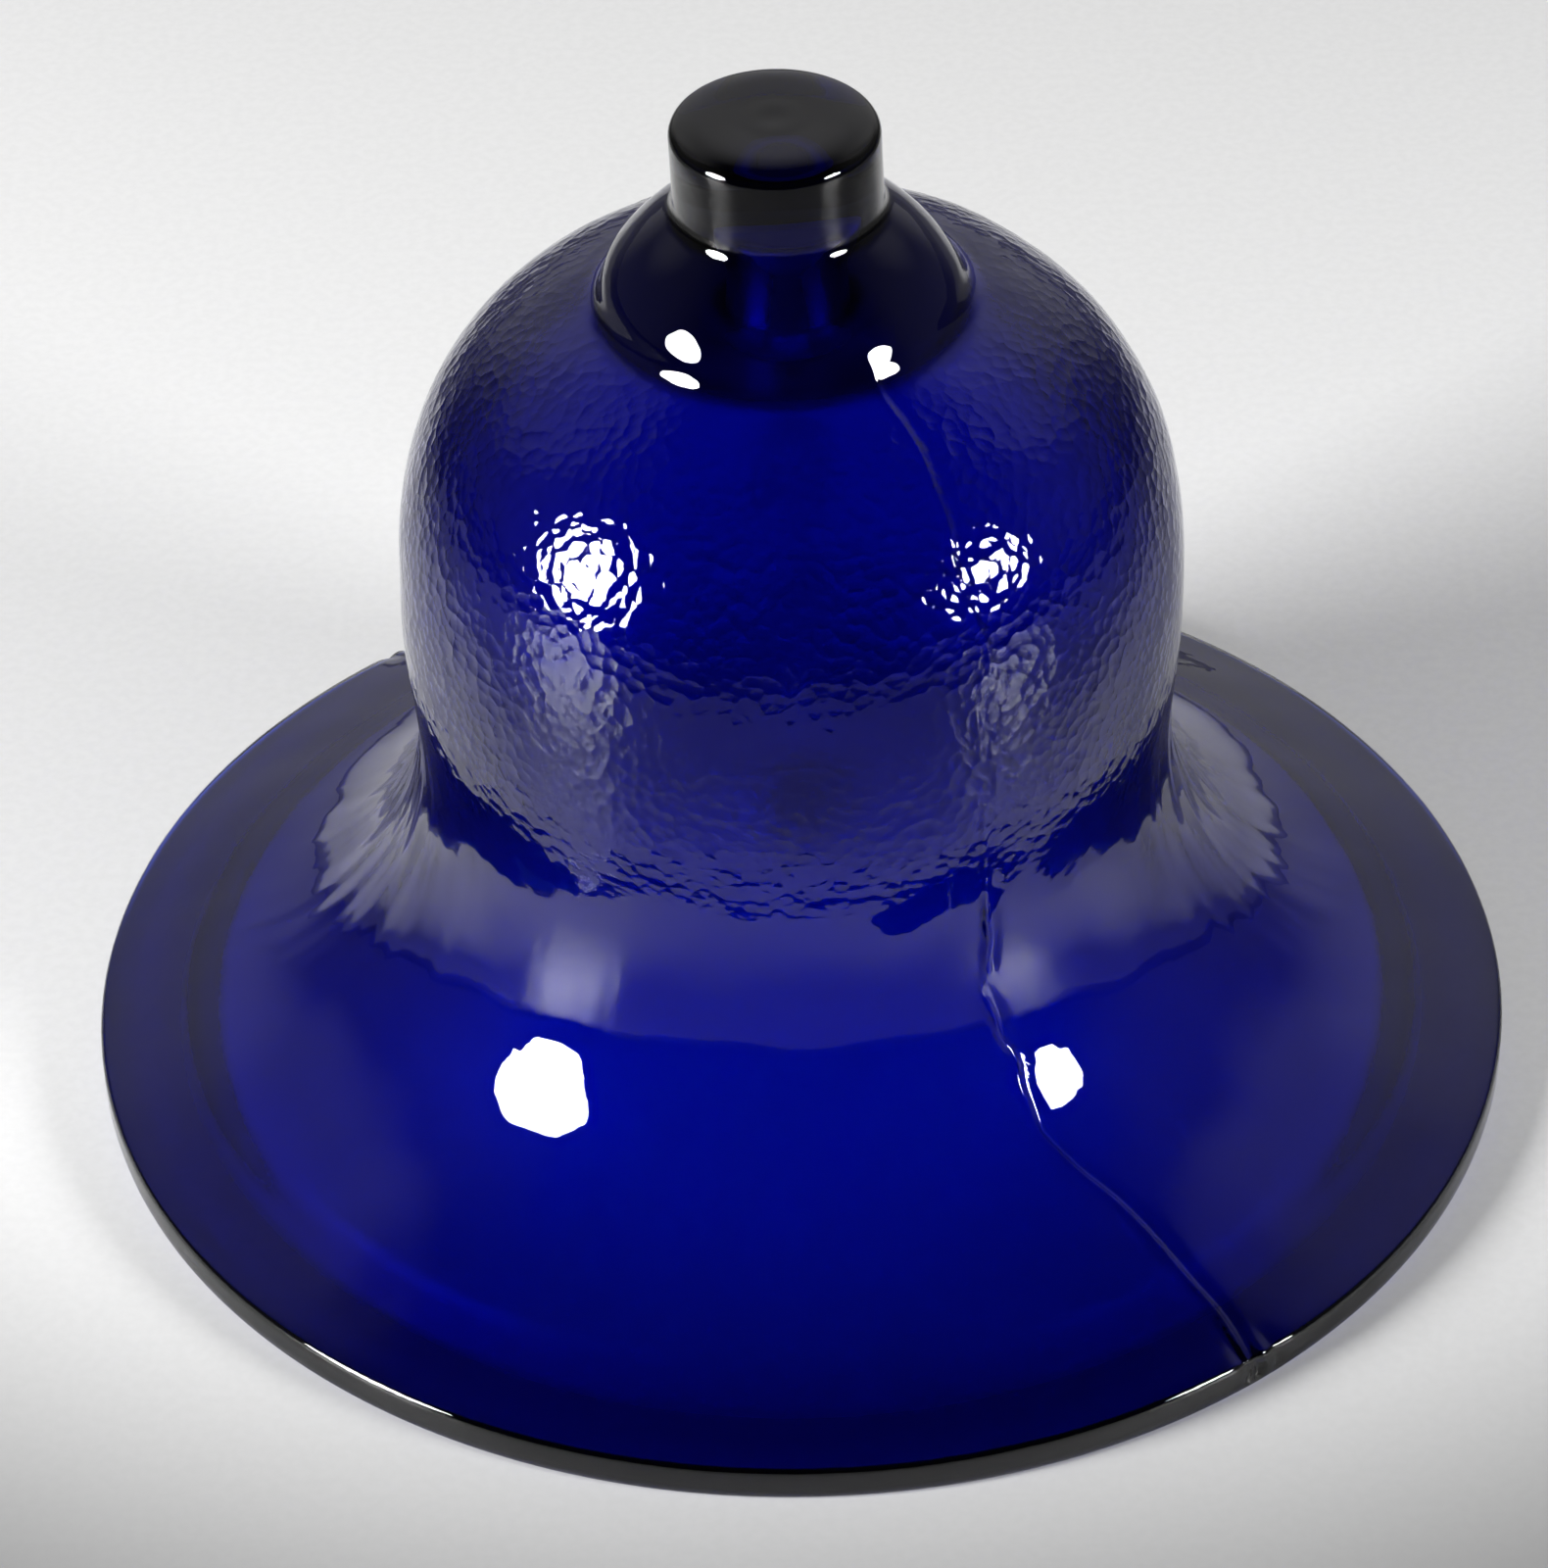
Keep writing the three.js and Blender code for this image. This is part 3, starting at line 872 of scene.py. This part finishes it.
def distance_forwards(nodes, where, centre_y):
    """Distance over the floor from (0, centre_y), shrunk by the stretch behind it."""
    part = nodes.add("ShaderNodeSeparateXYZ", {0: where}).outputs
    y = nodes.maths("SUBTRACT", part["Y"], centre_y)
    behind = nodes.maths("DIVIDE", nodes.maths("MAXIMUM", y, 0.0), BACKWARD_STRETCH)
    y = nodes.maths("ADD", nodes.maths("MINIMUM", y, 0.0), behind)
    flat = nodes.add("ShaderNodeCombineXYZ", {0: part["X"], 1: y})
    return nodes.add("ShaderNodeVectorMath", {0: flat.outputs[0]}, operation="LENGTH").outputs["Value"]


def floor():
    material, nodes, shader, output, where = new_material("floor")
    speck = nodes.noise(where, 900, 4)
    pale = nodes.blend(nodes.step(speck, 0.3, 0.7), *FLOOR_PALE)
    # painted pool of light round the bell, fading into painted shade further off
    away = nodes.step(distance_forwards(nodes, where, PAINTED_POOL_CENTRE_Y), *PAINTED_POOL_FADE)
    colour = nodes.blend(away, pale, FLOOR_PAINTED_SHADE)
    # painted shade: past this edge the floor's colour goes near-black
    painted_dark_share = nodes.step(distance_forwards(nodes, where, 0), *PAINTED_SHADE_EDGE)
    colour = nodes.blend(painted_dark_share, colour, FLOOR_PAINTED_DARK_SHADE)
    feed(nodes, shader, Base_Color=colour, Roughness=0.3, Specular_IOR_Level=0.15)
    size = FLOOR_HALF_SIZE
    corners = [(-size, -size), (size, -size), (size, size), (-size, size)]
    mesh = bpy.data.meshes.new("floor")
    mesh.from_pydata([(x, y, -FLOOR_DROP) for x, y in corners], [], [(0, 1, 2, 3)])
    mesh.materials.append(material)
    piece = bpy.data.objects.new("floor", mesh)
    bpy.context.scene.collection.objects.link(piece)


def area_light(name, azimuth, elevation, width, height):
    data = bpy.data.lights.new(name, "AREA")
    data.shape = "ELLIPSE"
    data.size, data.size_y = width, height
    data.energy = LAMP_RADIANCE * math.pi * (math.pi / 4 * width * height)
    lamp = bpy.data.objects.new(name, data)
    away = direction(azimuth, elevation)
    lamp.location = away * LAMP_DISTANCE + LAMP_AIM
    lamp.rotation_euler = away.to_track_quat("Z", "Y").to_euler()
    lamp.visible_camera = False
    bpy.context.scene.collection.objects.link(lamp)


def surroundings():
    world = bpy.data.worlds.new("room")
    world.use_nodes = True
    nodes = Nodes(world.node_tree)
    world.node_tree.nodes.clear()
    output = nodes.add("ShaderNodeOutputWorld")
    where = nodes.add("ShaderNodeTexCoord").outputs["Generated"]
    total = ROOM_LIGHT
    for azimuth, elevation, full, none, strength in GLOWS:
        pair = {0: where, 1: direction(azimuth, elevation)}
        way = nodes.add("ShaderNodeVectorMath", pair, operation="DOT_PRODUCT").outputs["Value"]
        low, high = math.cos(math.radians(none)), math.cos(math.radians(full))
        total = nodes.maths("ADD", nodes.step(way, low, high, 0.0, strength), total)
    background = nodes.add("ShaderNodeBackground", {"Strength": total})
    background.inputs["Color"].default_value = (1.0, 0.99, 0.98, 1)
    nodes.tree.links.new(background.outputs[0], output.inputs["Surface"])
    bpy.context.scene.world = world


floor()
area_light("left_window", -64, 18, 0.37, 0.46)
area_light("right_window", 60, 18, 0.29, 0.26)
surroundings()

scene = bpy.context.scene
scene.view_settings.view_transform = "Standard"
scene.cycles.max_bounces = 14
scene.cycles.transmission_bounces = 12
scene.cycles.glossy_bounces = 5
scene.cycles.diffuse_bounces = 3
scene.cycles.transparent_max_bounces = 8
scene.cycles.sample_clamp_indirect = 8
scene.cycles.use_denoising = True
